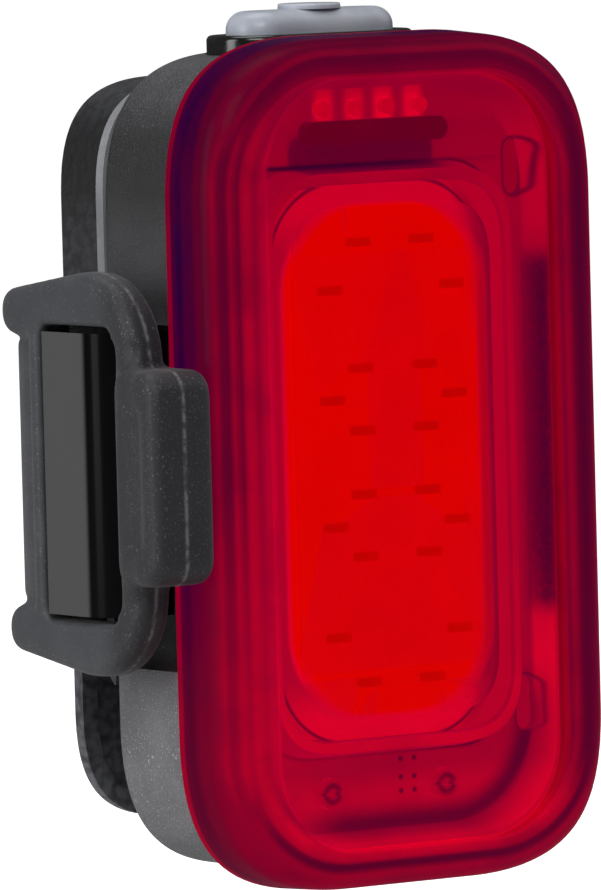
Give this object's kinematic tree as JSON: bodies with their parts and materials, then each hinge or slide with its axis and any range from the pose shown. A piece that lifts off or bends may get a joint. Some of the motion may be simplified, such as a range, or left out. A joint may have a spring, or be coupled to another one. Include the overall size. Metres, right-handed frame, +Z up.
{
  "type": "bicycle rear light",
  "caption": "Rechargeable bicycle rear light: tall red lens over a glowing panel, on a belt clip held by a bracket with a rubber strap for a seat post.",
  "frame": {"origin": "middle of the rubber saddle, on the face that rests against the seat post", "axes": "+Z up, +Y back into the seat post, so the lens faces -Y; +X to the right of someone who looks at the lit lens"},
  "size_m": [0.0452, 0.0286, 0.0641],
  "materials": {
    "red_lens": "clear deep red, polished",
    "black_rubber": "matte",
    "housing_plastic": "fine spark-eroded grain",
    "clip_plastic": "leather-like grain",
    "grey_gasket": "matte",
    "screw_steel": "plain",
    "tray_plastic": "satin",
    "panel_aluminium": "white solder mask",
    "chip_ceramic": "diodes",
    "panel_silicone": "translucent red",
    "lead_insulation": "soft",
    "clear_pipe": "clear",
    "board_laminate": "solder mask",
    "package_epoxy": "moulded",
    "plunger_plastic": "plain",
    "socket_steel": "plated",
    "cell_foil": "satin foil",
    "guard_tape": "film tape",
    "bezel_plastic": "gloss black",
    "button_silicone": "translucent",
    "bracket_plastic": "fine grain",
    "strap_rubber": "matte"
  },
  "bodies": {
    "bracket": {"strap_bracket": "bracket_plastic", "post_pad": "black_rubber", "strap_band": "strap_rubber"},
    "strap_head": {"strap_head": "strap_rubber"},
    "button": {"button_cap": "button_silicone", "switch_plunger": "plunger_plastic"},
    "door": {"port_door": "black_rubber"},
    "light": {"lens_cover": "red_lens", "lens_seal": "black_rubber", "front_housing": "housing_plastic", "clip_block": "clip_plastic", "clip_gasket": "grey_gasket", "clip_screws": "screw_steel", "reflector_tray": "tray_plastic", "tray_screws": "screw_steel", "board_screws": "screw_steel", "panel_board": "panel_aluminium", "panel_chips": "chip_ceramic", "panel_gel": "panel_silicone", "panel_leads": "lead_insulation", "gauge_lamps": "chip_ceramic", "gauge_pipes": "clear_pipe", "gauge_baffle": "housing_plastic", "main_board": "board_laminate", "board_packages": "package_epoxy", "switch_body": "package_epoxy", "socket_shell": "socket_steel", "socket_tongue": "package_epoxy", "battery_cell": "cell_foil", "battery_guard": "guard_tape", "battery_pad": "black_rubber", "battery_leads": "lead_insulation", "button_bezel": "bezel_plastic", "door_anchor": "black_rubber"}
  },
  "joints": [
    {"name": "strap_release", "type": "hinge", "parent": "bracket", "child": "strap_head", "pos_m": [-0.01953, -0.00241, 0], "axis": [0, 0, -1], "range_deg": [0, 65]},
    {"name": "light_slide", "type": "slide", "parent": "bracket", "child": "light", "axis": [0, 0, 1], "range_m": [0, 0.038]},
    {"name": "button_press", "type": "slide", "parent": "light", "child": "button", "axis": [0, 0, -1], "range_m": [0, 0.0008], "stiffness_N_per_m": 1500},
    {"name": "port_door_open", "type": "hinge", "parent": "light", "child": "door", "pos_m": [0, -0.01005, -0.0302], "axis": [1, 0, 0], "range_deg": [0, 90]}
  ]
}
